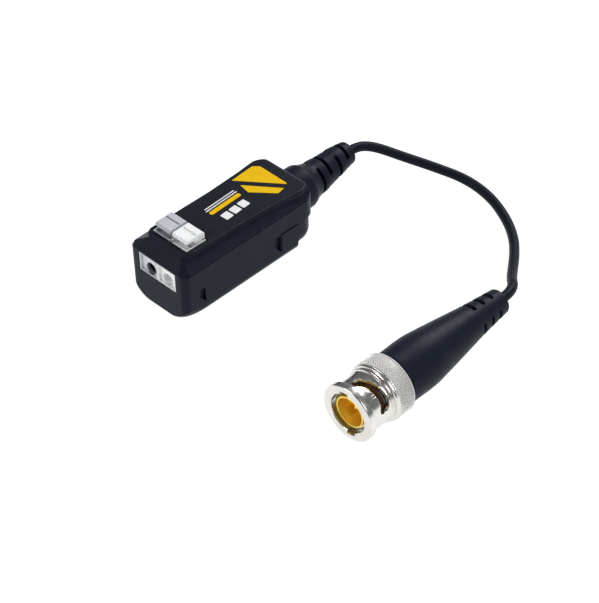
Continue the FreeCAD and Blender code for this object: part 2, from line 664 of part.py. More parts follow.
surge_arrester = keep(cyl("surge_arrester", "y", 1.5, 5.0, 9.6, -4.6, 8.7), "surge_arrester")
chip_resistor = keep(box("chip_resistor", -1.6, 1.6, 6.6, 8.2, board_top, board_top + 0.6), "chip_resistor")

# cable end inside the housing: conductor bent to its pad, screen tail beside it
diel = cyl("dielectric", "y", 0.75, 12.0, 18.8, 0.0, D.neck_z)
wire = cyl("conductor", "y", 0.3, 10.9, 12.1, 0.0, D.neck_z)
drop = cyl("conductor_drop", "z", 0.3, board_top, D.neck_z, 0.0, 10.9)
knee = doc.addObject("Part::Sphere", "conductor_knee")
knee.Radius = 0.3
bind(knee, "Placement.Base.z", D.neck_z)
bind(knee, "Placement.Base.y", 10.9)
cable_core = keep(fused("cable_core", [diel, wire, drop, knee]), "cable_core")
tail_run = cyl("tail_run", "y", 0.4, 12.9, 18.8, 1.5, D.neck_z)
tail_drop = cyl("tail_drop", "z", 0.4, board_top, D.neck_z, 1.5, 12.9)
tail_knee = doc.addObject("Part::Sphere", "tail_knee")
tail_knee.Radius = 0.4
bind(tail_knee, "Placement.Base.x", 1.5)
bind(tail_knee, "Placement.Base.y", 12.9)
bind(tail_knee, "Placement.Base.z", D.neck_z)
shield_tail = keep(fused("shield_tail", [tail_run, tail_drop, tail_knee]), "shield_tail")


# ------------------------------------------------------------ strain reliefs
def relief(name, y_list, half_span, x, z_of, outer):
    """Pairs of opposite slots round a boot; each entry is (y, facing angle)."""
    cutters = []
    for k, (y, face) in enumerate(y_list):
        wedges = []
        for turn in (0.0, 180.0):
            wedges.append(cyl("%s_wedge_%d_%d" % (name, k, int(turn)), "y", outer, y - D.relief_gap / 2,
                              y + D.relief_gap / 2, x, z_of(y), angle=2 * half_span,
                              first=face + turn - half_span))
        core = cyl("%s_core_%d" % (name, k), "y", D.relief_core, y - 2, y + 2, x, z_of(y))
        cutters.append(cut("%s_slot_%d" % (name, k), fused("%s_wedges_%d" % (name, k), wedges), [core]))
    return cutters


def tail_z(y):
    """Height of the housing boot's axis: level at the collar, lifted at its end."""
    t = max(0.0, min(1.0, (y - 29.0) / 12.0))
    return D.neck_z + D.tail_lift * (t * t * (3 - 2 * t))


collar = turned("housing_collar",
                [(0, 18.8), (4.9, 18.8), (4.9, 20.15), (D.neck_round, 20.15), (D.neck_round, half_long),
                 (D.collar_round - 0.3, half_long), (D.collar_round, half_long + 0.3), (D.collar_round, 25.4),
                 (D.collar_round - 0.25, 26.0), (0, 26.0)], 0.0, D.neck_z)
rings = []
for y, r in [(25.2, 5.2), (26.0, 5.49), (27.6, 4.9), (29.0, 4.52), (30.0, 4.46), (31.2, 4.42), (32.4, 4.2),
             (33.4, 4.05), (34.4, 3.93), (35.4, 3.84), (36.4, 3.76), (37.4, 3.66), (38.4, 3.5), (39.4, 3.34),
             (40.4, 3.18), (41.4, 3.02), (41.7, 2.95), (D.boot_end_y.value, 2.75)]:
    rings.append(Part.Wire([Part.Circle(Vector(0, y, tail_z(y).value), Vector(0, 1, 0), r).toShape()]))
hb_tail = doc.addObject("Part::Feature", "housing_tail")
hb_tail.Shape = Part.makeLoft(rings, True, True)
hb_tail.Placement = Placement()
hb = fused("housing_boot_blank", [collar, hb_tail])
hb_slots = relief("housing_relief", [(29.5, 90.0), (32.4, 0.0), (36.0, 90.0), (39.2, 0.0)], 70.0,
                  0.0, tail_z, 8.0)
housing_boot = keep(cut("housing_boot", hb, hb_slots), "housing_boot")

pb = turned("plug_boot_blank",
            [(4.35, D.boot_front_y), (6.25, D.boot_front_y), (6.5, D.boot_front_y + 0.25), (6.57, -6.9), (6.60, -4.3),
             (6.66, -1.7), (6.56, 0.95), (6.26, 3.5), (5.87, 6.2), (5.54, 8.9), (5.15, 11.65), (4.74, 14.4),
             (4.34, 17.15), (4.01, 19.9), (3.70, 22.75), (3.35, 26.0), (D.boot_tail_round, D.boot_rear_y - 0.2),
             (D.boot_tail_round - 0.2, D.boot_rear_y), (0, D.boot_rear_y), (0, 1.7), (2.9, 1.7), (2.9, -7.4),
             (4.35, -7.4)],
            D.plug_x, D.plug_z)
pb_slots = relief("plug_relief", [(18.5, 131.0), (21.6, 131.0), (24.6, 131.0)], 64.0, D.plug_x,
                  lambda y: D.plug_z, 8.0)
plug_boot = keep(cut("plug_boot", pb, pb_slots), "plug_boot")

# ------------------------------------------------------------ cable
# Straight runs joined by tangent arcs, laid on the ground between the boots.
ROUTE = [(0, 41.9, 9.8), (0, 45.0, 9.8), (1.25, 48.3, 8.9), (3.6, 50.8, 7.7), (7.6, 54.0, 5.7),
         (13.6, 58.3, 3.4), (21.8, 61.9, 1.75), (30.6, 61.1, 1.3), (39.0, 57.2, 1.35), (45.2, 52.6, 1.7),
         (50.0, 47.1, 2.6), (54.0, 41.6, 4.0), (57.2, 37.3, 5.6), (59.9, 34.6, 6.9), (61.3, 31.3, 7.41),
         (61.3, 28.0, 7.41)]
route = [Vector(*p) for p in ROUTE]
route[0].y = D.boot_end_y.value
route[-1].y = D.boot_rear_y.value
for point in route[:2]:
    point.z = (D.neck_z + D.tail_lift).value
for point in route[-2:]:
    point.x = D.plug_x.value
    point.z = D.plug_z.value


def rounded_path(points):
    edges, here, radii = [], points[0], []
    for a, b, c in zip(points, points[1:], points[2:]):
        u, w = (a - b), (c - b)
        la, lc = u.Length, w.Length
        u.normalize()
        w.normalize()
        turn = math.pi - math.acos(max(-1.0, min(1.0, u.dot(w))))
        back = 0.45 * min(la, lc)
        radii.append(back / math.tan(turn / 2))
        p0, p1 = b + u * back, b + w * back
        bis = u + w
        bis.normalize()
        centre = b + bis * (back / math.cos((math.pi - turn) / 2))
        mid_ = centre - bis * radii[-1]
        edges.append(Part.LineSegment(here, p0).toShape())
        edges.append(Part.Arc(p0, mid_, p1).toShape())
        here = p1
    edges.append(Part.LineSegment(here, points[-1]).toShape())
    return Part.Wire(edges), radii


path, radii = rounded_path(route)
start_dir = route[1] - route[0]
ring_edge = Part.Circle(route[0], start_dir, D.cable_round.value).toShape()
tube = path.makePipeShell([Part.Wire([ring_edge])], True, False)
coax = doc.addObject("Part::Feature", "coax_cable")
coax.Shape = tube
coax.Placement = Placement()
keep(coax, "coax_cable")
print("cable arc radii, mm:", " ".join("%.1f" % r for r in radii))
print("cable length %.2f mm, tube volume %.3f against section times length %.3f"
      % (path.Length, tube.Volume, math.pi * D.cable_round.value ** 2 * path.Length))

# ------------------------------------------------------------ plug
# Distances along the plug are counted rearward from the plane of its lip.
lip = D.lip_y
gap = 0.05
nut_blank = turned("nut_blank",
                   [(D.lip_bore, lip + 0.15), (D.lip_bore + 0.15, lip), (D.lip_round - 0.35, lip),
                    (D.lip_round, lip + 0.35), (D.lip_round, lip + D.lip_thick - 0.2),
                    (D.lip_round - 0.2, lip + D.lip_thick), (D.drum_round, lip + D.lip_thick + 0.25),
                    (D.drum_round, lip + 7.3), (6.85, lip + 7.45), (6.85, lip + 7.75), (6.5, lip + 7.9),
                    (6.5, lip + 8.25), (7.1, lip + 8.45), (7.1, lip + 9.0), (D.knurl_round, lip + 9.2),
                    (D.knurl_round, lip + D.nut_long - 0.4), (D.knurl_round - 0.4, lip + D.nut_long),
                    (D.nut_rear_bore, lip + D.nut_long), (D.nut_rear_bore, lip + D.shoulder_end),
                    (D.shoulder_bore, lip + D.shoulder_end), (D.shoulder_bore, lip + D.shoulder_at),
                    (D.drum_bore, lip + D.shoulder_at), (D.drum_bore, lip + 1.6), (D.lip_bore, lip + 1.6)],
                   D.plug_x, D.plug_z)

# bayonet slots: (angle from +Z towards +X, front edge, rear edge)
BAYONET = [(-15.5, 3.5, 4.7), (-12.0, 2.75, 5.0), (-5.0, 2.5, 5.25), (4.0, 3.15, 5.7), (12.0, 3.75, 5.95),
           (25.0, 4.2, 6.4), (41.0, 4.55, 6.8), (58.0, 4.65, 6.98), (66.0, 4.35, 6.98), (74.0, 3.95, 6.65),
           (80.0, 4.25, 5.95), (82.0, 4.8, 5.4)]


def bayonet(name, turn):
    wires = []
    for ang, s0, s1 in BAYONET:
        a = math.radians(ang + turn)
        rows = []
        for r, s in ((5.3, s0), (7.0, s0), (7.0, s1), (5.3, s1)):
            rows.append(Vector(D.plug_x.value + r * math.sin(a), D.lip_y.value + s,
                               D.plug_z.value + r * math.cos(a)))
        wires.append(Part.makePolygon(rows + [rows[0]]))
    f = doc.addObject("Part::Feature", name)
    f.Shape = Part.makeLoft(wires, True, True)
    f.Placement = Placement()
    return f


slots = [bayonet("bayonet_a", 0.0), bayonet("bayonet_b", 180.0)]
# entry notches that let the lugs of the mating socket pass the lip
notches = []
for k, turn in enumerate((-12.0, 168.0)):
    notches.append(cyl("entry_%d" % k, "y", D.drum_bore + 0.15, lip - 0.5, lip + 1.9, D.plug_x, D.plug_z,
                       angle=26, first=turn - 13.0))
coupling_nut = keep(cut("coupling_nut", nut_blank, slots + notches), "coupling_nut")

plug_body = keep(turned("plug_body",
                        [(D.spigot_round, lip + D.flange_at), (D.flange_round, lip + D.flange_at),
                         (D.flange_round, lip + D.flange_end), (D.barrel_round, lip + D.flange_end),
                         (D.barrel_round, lip + 11.1), (3.7, lip + 11.1), (3.7, lip + 11.8),
                         (D.barrel_round, lip + 11.8), (D.barrel_round, lip + 14.7), (2.2, lip + 14.7),
                         (2.2, lip + 20.0), (1.6, lip + 20.0), (1.6, lip + D.flange_end),
                         (D.spigot_round, lip + D.flange_end)],
                        D.plug_x, D.plug_z), "plug_body")
outer_contact = keep(turned("outer_contact",
                            [(D.contact_bore, lip + D.contact_front), (D.contact_round - 0.15, lip + D.contact_front),
                             (D.contact_round, lip + D.contact_front + 0.2),
                             (D.contact_round, lip + 6.0), (D.spigot_round, lip + 6.0),
                             (D.spigot_round, lip + D.flange_end), (D.contact_bore, lip + D.flange_end)],
                            D.plug_x, D.plug_z), "outer_contact")
insulator = keep(turned("insulator",
                        [(D.pin_round, lip + 5.2), (D.contact_bore, lip + 5.2),
                         (D.contact_bore, lip + D.flange_end), (1.6, lip + D.flange_end), (1.6, lip + 20.0),
                         (D.pin_round, lip + 20.0)],
                        D.plug_x, D.plug_z), "insulator")
centre_pin = keep(turned("centre_pin",
                         [(0, lip + D.pin_front), (0.25, lip + D.pin_front), (0.5, lip + D.pin_front + 0.25),
                          (D.pin_round, lip + D.pin_front + 0.8), (D.pin_round, lip + 20.0), (0, lip + 20.0)],
                         D.plug_x, D.plug_z), "centre_pin")
gasket = keep(turned("gasket",
                     [(D.spigot_round, lip + 6.0), (5.2, lip + 6.0), (5.2, lip + D.flange_at),
                      (D.spigot_round, lip + D.flange_at)], D.plug_x, D.plug_z), "gasket")
wave_washer = keep(turned("wave_washer",
                          [(D.barrel_round + 0.1, lip + D.flange_end + gap), (5.3, lip + D.flange_end + gap),
                           (5.3, lip + 8.1), (D.barrel_round + 0.1, lip + 8.1)], D.plug_x, D.plug_z), "wave_washer")
thrust_washer = keep(turned("thrust_washer",
                            [(D.barrel_round + 0.06, lip + 9.0), (D.drum_bore - 0.1, lip + 9.0),
                             (D.drum_bore - 0.1, lip + D.shoulder_at - gap),
                             (D.barrel_round + 0.06, lip + D.shoulder_at - gap)],
                            D.plug_x, D.plug_z), "thrust_washer")
retaining_ring = keep(turned("retaining_ring",
                             [(3.7, lip + 11.15), (5.3, lip + 11.15), (5.3, lip + 11.75), (3.7, lip + 11.75)],
                             D.plug_x, D.plug_z), "retaining_ring")
crimp_ferrule = keep(turned("crimp_ferrule",
                            [(2.2, lip + 14.9), (2.9, lip + 14.9), (2.9, lip + 24.0), (0, lip + 24.0),
                             (0, lip + 20.0), (2.2, lip + 20.0)], D.plug_x, D.plug_z), "crimp_ferrule")

# ------------------------------------------------------------ checks, export
doc.recompute()
bad = []
for obj in doc.Objects:
    if "Invalid" in obj.State or "Error" in obj.State:
        bad.append("%s: %s" % (obj.Name, obj.State))
for node in NODES:
    shape = node.Shape
    if shape.isNull() or not shape.isValid() or shape.Volume <= 0:
        bad.append("%s: bad shape" % node.Label)
    elif len(shape.Solids) != 1:
        bad.append("%s: %d solids" % (node.Label, len(shape.Solids)))
if bad:
    raise RuntimeError("; ".join(bad))

os.makedirs("parts", exist_ok=True)
for node in NODES:
    node.Shape.exportStep("parts/%s.step" % node.Label)
    b = node.Shape.BoundBox
    print("%-22s %9.2f mm3  x %.2f..%.2f  y %.2f..%.2f  z %.2f..%.2f"
          % (node.Label, node.Shape.Volume, b.XMin, b.XMax, b.YMin, b.YMax, b.ZMin, b.ZMax))
print("%d pieces" % len(NODES))
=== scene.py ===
import bpy
import bmesh
import math
from mathutils import Matrix, Vector


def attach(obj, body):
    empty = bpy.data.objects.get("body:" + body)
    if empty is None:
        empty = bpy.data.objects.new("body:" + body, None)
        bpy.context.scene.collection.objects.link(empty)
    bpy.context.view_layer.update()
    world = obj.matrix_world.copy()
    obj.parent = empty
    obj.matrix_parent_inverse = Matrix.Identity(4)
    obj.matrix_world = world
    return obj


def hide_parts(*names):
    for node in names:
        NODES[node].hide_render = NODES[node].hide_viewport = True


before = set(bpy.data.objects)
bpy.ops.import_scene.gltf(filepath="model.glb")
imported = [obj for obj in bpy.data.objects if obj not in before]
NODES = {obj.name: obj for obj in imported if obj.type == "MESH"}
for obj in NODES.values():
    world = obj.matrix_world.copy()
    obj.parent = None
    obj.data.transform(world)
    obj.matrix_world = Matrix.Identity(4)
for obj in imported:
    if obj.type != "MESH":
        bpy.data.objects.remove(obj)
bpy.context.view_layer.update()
MM = 0.001
scene = bpy.context.scene

# ---------------------------------------------------------------- camera
# The picture's own viewing angle; sizes in millimetres until the last step.
IMG_W, IMG_H = 599.0, 603.0
FOCAL_PX, DIST = 2043.924, 479.175
AZ, EL, ROLL = math.radians(45.76), math.radians(41.93), -0.028
SHIFT_RIGHT, SHIFT_UP = 22.373, 2.211


def make_camera():
    back = Vector((math.sin(AZ) * math.cos(EL), -math.cos(AZ) * math.cos(EL), math.sin(EL)))
    right = Vector((math.cos(AZ), math.sin(AZ), 0.0))
    up = back.cross(right)
    r2 = right * math.cos(ROLL) + up * math.sin(ROLL)
    u2 = -right * math.sin(ROLL) + up * math.cos(ROLL)
    place = Vector((SHIFT_RIGHT, SHIFT_UP, 0.0)) + back * DIST
    data = bpy.data.cameras.new("camera")
    data.sensor_width = 36.0
    data.sensor_fit = "AUTO"
    data.lens = FOCAL_PX * 36.0 / max(IMG_W, IMG_H)
    data.clip_start, data.clip_end = 0.01, 20.0
    cam = bpy.data.objects.new("camera", data)
    scene.collection.objects.link(cam)
    m = Matrix.Identity(4)
    for i, axis in enumerate((r2, u2, back)):
        for j in range(3):
            m[j][i] = axis[j]
    for j in range(3):
        m[j][3] = place[j] * MM
    cam.matrix_world = m
    scene.camera = cam


make_camera()


# ---------------------------------------------------------------- materials
def new_material(name):
    m = bpy.data.materials.new(name)
    m.use_nodes = True
    nt = m.node_tree
    bsdf = next(n for n in nt.nodes if n.type == "BSDF_PRINCIPLED")
    return m, nt, bsdf


def coords(nt):
    tc = nt.nodes.new("ShaderNodeTexCoord")
    return tc.outputs["Object"]


def noise(nt, vec, scale, detail=2.0, rough=0.5, distortion=0.0):
    n = nt.nodes.new("ShaderNodeTexNoise")
    n.inputs["Scale"].default_value = scale
    n.inputs["Detail"].default_value = detail
    n.inputs["Roughness"].default_value = rough
    n.inputs["Distortion"].default_value = distortion
    nt.links.new(vec, n.inputs["Vector"])
    return n.outputs["Fac"]


def remap(nt, value, a, b, lo, hi):
    n = nt.nodes.new("ShaderNodeMapRange")
    n.inputs["From Min"].default_value = a
    n.inputs["From Max"].default_value = b
    n.inputs["To Min"].default_value = lo
    n.inputs["To Max"].default_value = hi
    nt.links.new(value, n.inputs["Value"])
    return n.outputs["Result"]


def mix(nt, fac, c1, c2):
    n = nt.nodes.new("ShaderNodeMix")
    n.data_type = "RGBA"
    nt.links.new(fac, n.inputs[0])
    for k, c in ((6, c1), (7, c2)):
        if isinstance(c, (tuple, list)):
            n.inputs[k].default_value = (*c[:3], 1.0)
        else:
            nt.links.new(c, n.inputs[k])
    return n.outputs[2]


def math_node(nt, op, a, b=None):
    n = nt.nodes.new("ShaderNodeMath")
    n.operation = op
    for k, v in enumerate((a, b)):
        if v is None:
            continue
        if isinstance(v, (int, float)):
            n.inputs[k].default_value = v
        else:
            nt.links.new(v, n.inputs[k])
    return n.outputs[0]


def bump(nt, height, strength, distance, normal=None):
    n = nt.nodes.new("ShaderNodeBump")
    n.inputs["Strength"].default_value = strength
    n.inputs["Distance"].default_value = distance
    nt.links.new(height, n.inputs["Height"])
    if normal is not None:
        nt.links.new(normal, n.inputs["Normal"])
    return n.outputs["Normal"]


def plastic(name, c1, c2, rough=(0.35, 0.5), grain=6500.0, grain_depth=0.00001, grain_strength=0.35,
            spec=0.5, subsurface=0.0, coat=0.0, coat_rough=0.2, mottling=900.0, sheen=0.0):
    """Moulded plastic or rubber: fine eroded grain, faint mottling, uneven gloss."""
    m, nt, b = new_material(name)
    vec = coords(nt)
    broad = noise(nt, vec, mottling * 0.25, 3.0, 0.55)
    fine = noise(nt, vec, mottling * 2.2, 3.0, 0.6)
    both = math_node(nt, "MULTIPLY", math_node(nt, "ADD", broad, fine), 0.5)
    nt.links.new(mix(nt, remap(nt, both, 0.38, 0.62, 0.0, 1.0), c1, c2), b.inputs["Base Color"])
    nt.links.new(remap(nt, noise(nt, vec, mottling * 0.6, 4.0, 0.6), 0.3, 0.7, rough[0], rough[1]),
                 b.inputs["Roughness"])
    g1 = noise(nt, vec, grain, 2.0, 0.55)
    g2 = noise(nt, vec, grain * 0.33, 2.0, 0.5)
    height = math_node(nt, "ADD", g1, math_node(nt, "MULTIPLY", g2, 0.7))
    nt.links.new(bump(nt, height, grain_strength, grain_depth), b.inputs["Normal"])
    b.inputs["Specular IOR Level"].default_value = spec
    b.inputs["IOR"].default_value = 1.5
    if subsurface:
        b.inputs["Subsurface Weight"].default_value = subsurface
        b.inputs["Subsurface Radius"].default_value = (0.0012, 0.001, 0.0009)
        b.inputs["Subsurface Scale"].default_value = 1.0
    if coat:
        b.inputs["Coat Weight"].default_value = coat
        b.inputs["Coat Roughness"].default_value = coat_rough
    if sheen:
        b.inputs["Sheen Weight"].default_value = sheen
        b.inputs["Sheen Roughness"].default_value = 0.5
    return m


def metal(name, c1, c2, rough=(0.15, 0.28), scale=1200.0, turned=0.0, turned_axis="Y", pits=0.15, metallic=1.0):
    """Plated metal: light clouding, small scratches and faint turning marks along an axis."""
    m, nt, b = new_material(name)
    vec = coords(nt)
    cloud = noise(nt, vec, scale * 0.3, 4.0, 0.6)
    nt.links.new(mix(nt, remap(nt, cloud, 0.35, 0.65, 0.0, 1.0), c1, c2), b.inputs["Base Color"])
    b.inputs["Metallic"].default_value = metallic
    nt.links.new(remap(nt, noise(nt, vec, scale, 4.0, 0.65), 0.3, 0.7, rough[0], rough[1]),
                 b.inputs["Roughness"])
    height = math_node(nt, "MULTIPLY", noise(nt, vec, scale * 3.0, 3.0, 0.6), pits)
    if turned:
        sep = nt.nodes.new("ShaderNodeSeparateXYZ")
        nt.links.new(vec, sep.inputs[0])
        comb = nt.nodes.new("ShaderNodeCombineXYZ")
        nt.links.new(sep.outputs[turned_axis], comb.inputs[turned_axis])
        rings = noise(nt, comb.outputs[0], 9000.0, 3.0, 0.7)
        height = math_node(nt, "ADD", height, math_node(nt, "MULTIPLY", rings, turned))
    nt.links.new(bump(nt, height, 0.25, 0.00001), b.inputs["Normal"])
    return m


def terminal(name):
    """Grey nylon, with its front face painted paler as if lit and painted shade down in its wire entry."""
    m, nt, b = new_material(name)
    vec = coords(nt)
    sep = nt.nodes.new("ShaderNodeSeparateXYZ")
    nt.links.new(vec, sep.inputs[0])
    patch = remap(nt, noise(nt, vec, 700.0, 3.0, 0.55), 0.38, 0.62, 0.0, 1.0)
    # painted light: the front face (in front of y -20.4 mm) gets a paler copy of the grey, as if lit; the body behind
    # it keeps the darker grey
    face = remap(nt, sep.outputs["Y"], -0.0204, -0.0198, 0.0, 1.0)
    tone = mix(nt, face, mix(nt, patch, (0.64, 0.66, 0.71), (0.70, 0.72, 0.76)),
               mix(nt, patch, (0.49, 0.51, 0.55), (0.55, 0.575, 0.61)))
    dx = math_node(nt, "ADD", sep.outputs["X"], 0.002835)
    dz = math_node(nt, "SUBTRACT", sep.outputs["Z"], 0.00975)
    across = math_node(nt, "SQRT", math_node(nt, "ADD", math_node(nt, "MULTIPLY", dx, dx),
                                             math_node(nt, "MULTIPLY", dz, dz)))
    # painted shade: near-black colour down inside the wire-entry hole, round its axis, growing with depth behind the
    # face
    entry_shade_ring = remap(nt, across, 0.00150, 0.00172, 1.0, 0.0)
    entry_painted_shade = math_node(nt, "MULTIPLY", entry_shade_ring, remap(nt, sep.outputs["Y"], -0.0214, -0.0209, 0.0, 1.0))
    nt.links.new(mix(nt, entry_painted_shade, tone, (0.012, 0.014, 0.020)), b.inputs["Base Color"])
    nt.links.new(remap(nt, noise(nt, vec, 420.0, 4.0, 0.6), 0.3, 0.7, 0.38, 0.5), b.inputs["Roughness"])
    nt.links.new(bump(nt, noise(nt, vec, 5200.0, 2.0, 0.55), 0.3, 0.000008), b.inputs["Normal"])
    b.inputs["Specular IOR Level"].default_value = 0.25
    return m


PLUG_X, PLUG_Z, LIP = 61.3, 7.41, -22.3
KNURL_A, KNURL_B, KNURL_R, KNURL_DEEP, TEETH = 9.25, 13.55, 7.4, 0.30, 84


def knurled(name):
    """Nickel on the diamond knurl: crests painted paler than the plain nickel as if lit, and painted shade down in the
    crossing grooves.
    """
    m, nt, b = new_material(name)
    vec = coords(nt)
    sep = nt.nodes.new("ShaderNodeSeparateXYZ")
    nt.links.new(vec, sep.inputs[0])
    dx = math_node(nt, "SUBTRACT", sep.outputs["X"], PLUG_X * MM)
    dz = math_node(nt, "SUBTRACT", sep.outputs["Z"], PLUG_Z * MM)
    turn = math_node(nt, "MULTIPLY", math_node(nt, "ARCTAN2", dx, dz), TEETH / (2 * math.pi))
    along = math_node(nt, "MULTIPLY", math_node(nt, "SUBTRACT", sep.outputs["Y"], LIP * MM),
                      TEETH / (2 * math.pi * KNURL_R * MM))
    deep = None
    for op in ("ADD", "SUBTRACT"):
        part = math_node(nt, "FRACT", math_node(nt, "ADD", math_node(nt, op, turn, along), 1000.0))
        part = math_node(nt, "MULTIPLY", math_node(nt, "ABSOLUTE", math_node(nt, "SUBTRACT", part, 0.5)), 2.0)
        deep = part if deep is None else math_node(nt, "MAXIMUM", deep, part)
    # painted light and shade: the pale crest colour stands in for lit knurl, the dark groove colour is painted shade
    # in the crossing grooves
    cloud = remap(nt, noise(nt, vec, 300.0, 4.0, 0.6), 0.35, 0.65, 0.0, 1.0)
    crest = mix(nt, cloud, (0.90, 0.89, 0.87), (0.97, 0.965, 0.95))
    nt.links.new(mix(nt, remap(nt, deep, 0.55, 1.0, 0.0, 1.0), crest, (0.42, 0.405, 0.38)), b.inputs["Base Color"])
    b.inputs["Metallic"].default_value = 0.25
    nt.links.new(remap(nt, noise(nt, vec, 900.0, 4.0, 0.65), 0.3, 0.7, 0.30, 0.42), b.inputs["Roughness"])
    nt.links.new(bump(nt, noise(nt, vec, 2700.0, 3.0, 0.6), 0.2, 0.00001), b.inputs["Normal"])
    return m


MAT = {
    "case": plastic("case_black", (0.0100, 0.0128, 0.0225), (0.0135, 0.0168, 0.0285), rough=(0.30, 0.40),
                    grain=5200.0, grain_depth=0.000010, grain_strength=0.28, spec=0.062),
    # deck_black: a slightly darker, less blue copy of the case black, painted shade standing in for the darker-looking
    # top
    "deck": plastic("deck_black", (0.0095, 0.0120, 0.0175), (0.0125, 0.0150, 0.0210), rough=(0.34, 0.44),
                    grain=7000.0, grain_depth=0.000007, grain_strength=0.22, spec=0.09),
    "boot": plastic("boot_black", (0.0095, 0.0125, 0.0225), (0.0135, 0.0170, 0.0285), rough=(0.36, 0.46),
                    grain=4200.0, grain_depth=0.000012, grain_strength=0.3, spec=0.062),
    "jacket": plastic("jacket_black", (0.0085, 0.0105, 0.0165), (0.0115, 0.0135, 0.0205), rough=(0.36, 0.46),
                      grain=3600.0, grain_depth=0.000008, grain_strength=0.22, spec=0.05),
    "grey": plastic("nylon_grey", (0.49, 0.51, 0.55), (0.55, 0.575, 0.61), rough=(0.38, 0.5),
                    grain=5200.0, grain_depth=0.000008, grain_strength=0.3, subsurface=0.08, mottling=700.0,
                    spec=0.35),
    "grey_body": terminal("nylon_grey_body"),
    "white": plastic("nylon_white", (0.86, 0.87, 0.88), (0.92, 0.93, 0.93), rough=(0.36, 0.48),
                     grain=5200.0, grain_depth=0.000008, grain_strength=0.3, subsurface=0.15, mottling=700.0,
                     spec=0.35),
    "nickel": metal("nickel_plate", (0.67, 0.655, 0.62), (0.75, 0.735, 0.70), rough=(0.17, 0.28),
                    scale=900.0, turned=0.5),
    "knurl": knurled("nickel_knurl"),
    "gold": metal("gold_plate", (0.86, 0.59, 0.075), (0.92, 0.66, 0.11), rough=(0.30, 0.42),
                  scale=900.0, turned=0.4, metallic=0.8),
    "tin": metal("tin_plate", (0.62, 0.60, 0.56), (0.72, 0.70, 0.66), rough=(0.25, 0.4)),
    "steel": metal("spring_steel", (0.52, 0.52, 0.52), (0.62, 0.61, 0.60), rough=(0.2, 0.35), turned=0.3),
    "copper": metal("enamelled_copper", (0.62, 0.25, 0.10), (0.72, 0.32, 0.14), rough=(0.25, 0.4)),
    "board": plastic("board_green", (0.012, 0.09, 0.035), (0.02, 0.12, 0.05), rough=(0.25, 0.4), mottling=2500.0),
    "ferrite": plastic("ferrite", (0.02, 0.02, 0.02), (0.035, 0.034, 0.033), rough=(0.6, 0.8)),
    "ptfe": plastic("ptfe_white", (0.80, 0.78, 0.72), (0.86, 0.84, 0.79), rough=(0.4, 0.5), subsurface=0.2),
    "blue": plastic("component_blue", (0.02, 0.06, 0.18), (0.03, 0.08, 0.22), rough=(0.25, 0.35)),
    "seal": plastic("seal_dark", (0.05, 0.012, 0.008), (0.07, 0.018, 0.012), rough=(0.5, 0.6)),
    "ink_yellow": plastic("ink_yellow", (0.76, 0.45, 0.0006), (0.82, 0.505, 0.0015), rough=(0.38, 0.50),
                          grain=7000.0, grain_depth=0.000004, grain_strength=0.2, mottling=1500.0, spec=0.10),
    "ink_white": plastic("ink_white", (0.78, 0.78, 0.79), (0.85, 0.85, 0.86), rough=(0.36, 0.46),
                         grain=7000.0, grain_depth=0.000004, grain_strength=0.2, mottling=1500.0),
}


def dress(obj, mat):
    obj.data.materials.clear()
    obj.data.materials.append(mat)


# ---------------------------------------------------------------- mesh helpers
# Everything here works in millimetres; settle() scales a piece to metres.
def mesh_object(name, verts, faces):
    me = bpy.data.meshes.new(name)
    me.from_pydata([tuple(v) for v in verts], [], faces)
    me.validate()
    me.update()
    ob = bpy.data.objects.new(name, me)
    scene.collection.objects.link(ob)
    return ob


def fix_normals(ob):
    bm = bmesh.new()
    bm.from_mesh(ob.data)
    bmesh.ops.remove_doubles(bm, verts=bm.verts, dist=1e-4)
    bmesh.ops.recalc_face_normals(bm, faces=bm.faces)
    bm.to_mesh(ob.data)
    bm.free()
    ob.data.update()


def apply_modifiers(ob):
    dg = bpy.context.evaluated_depsgraph_get()
    dg.update()
    me = bpy.data.meshes.new_from_object(ob.evaluated_get(dg), preserve_all_data_layers=True, depsgraph=dg)
    old = ob.data
    ob.modifiers.clear()
    ob.data = me
    if old.users == 0:
        bpy.data.meshes.remove(old)


def boolean(ob, cutters, operation="DIFFERENCE"):
    for c in cutters:
        mod = ob.modifiers.new("bool", "BOOLEAN")
        mod.operation = operation
        mod.solver = "EXACT"
        mod.object = c
    apply_modifiers(ob)
    for c in cutters:
        me = c.data
        bpy.data.objects.remove(c)
        if me.users == 0:
            bpy.data.meshes.remove(me)


def merge_flat(ob, degrees=0.4):
    bm = bmesh.new()
    bm.from_mesh(ob.data)
    bmesh.ops.remove_doubles(bm, verts=bm.verts, dist=2e-4)
    bmesh.ops.dissolve_limit(bm, angle_limit=math.radians(degrees), verts=bm.verts, edges=bm.edges,
                             delimit={"NORMAL"})
    bmesh.ops.recalc_face_normals(bm, faces=bm.faces)
    bm.to_mesh(ob.data)
    bm.free()
    ob.data.update()


def soften(ob, width, segments=2, degrees=32.0):
    """Small rounding on every sharp edge, with the flats kept flat in shading."""
    mod = ob.modifiers.new("bevel", "BEVEL")
    mod.width = width
    mod.segments = segments
    mod.limit_method = "ANGLE"
    mod.angle_limit = math.radians(degrees)
    mod.use_clamp_overlap = True
    mod.harden_normals = False
    mod.miter_outer = "MITER_ARC"
    apply_modifiers(ob)


def settle(ob, body, mat, replaces=(), smooth=35.0, weighted=True):
    """Scale to metres, shade, dress and hand over to its body."""
    ob.data.transform(Matrix.Scale(MM, 4))
    for p in ob.data.polygons:
        p.use_smooth = True
    ob.data.set_sharp_from_angle(angle=math.radians(smooth))
    if weighted:
        mod = ob.modifiers.new("weighted", "WEIGHTED_NORMAL")
        mod.mode = "FACE_AREA"
        mod.keep_sharp = True
        mod.weight = 50
        apply_modifiers(ob)
    if mat is not None:
        dress(ob, mat)
    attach(ob, body)
    if replaces:
        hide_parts(*replaces)
    return ob


def copy_cad(node, name):
    """A working copy of a CAD node's mesh in millimetres."""
    me = NODES[node].data.copy()
    me.name = name
    me.transform(Matrix.Scale(1.0 / MM, 4))
    me.materials.clear()
    ob = bpy.data.objects.new(name, me)
    scene.collection.objects.link(ob)
    merge_flat(ob)
    return ob


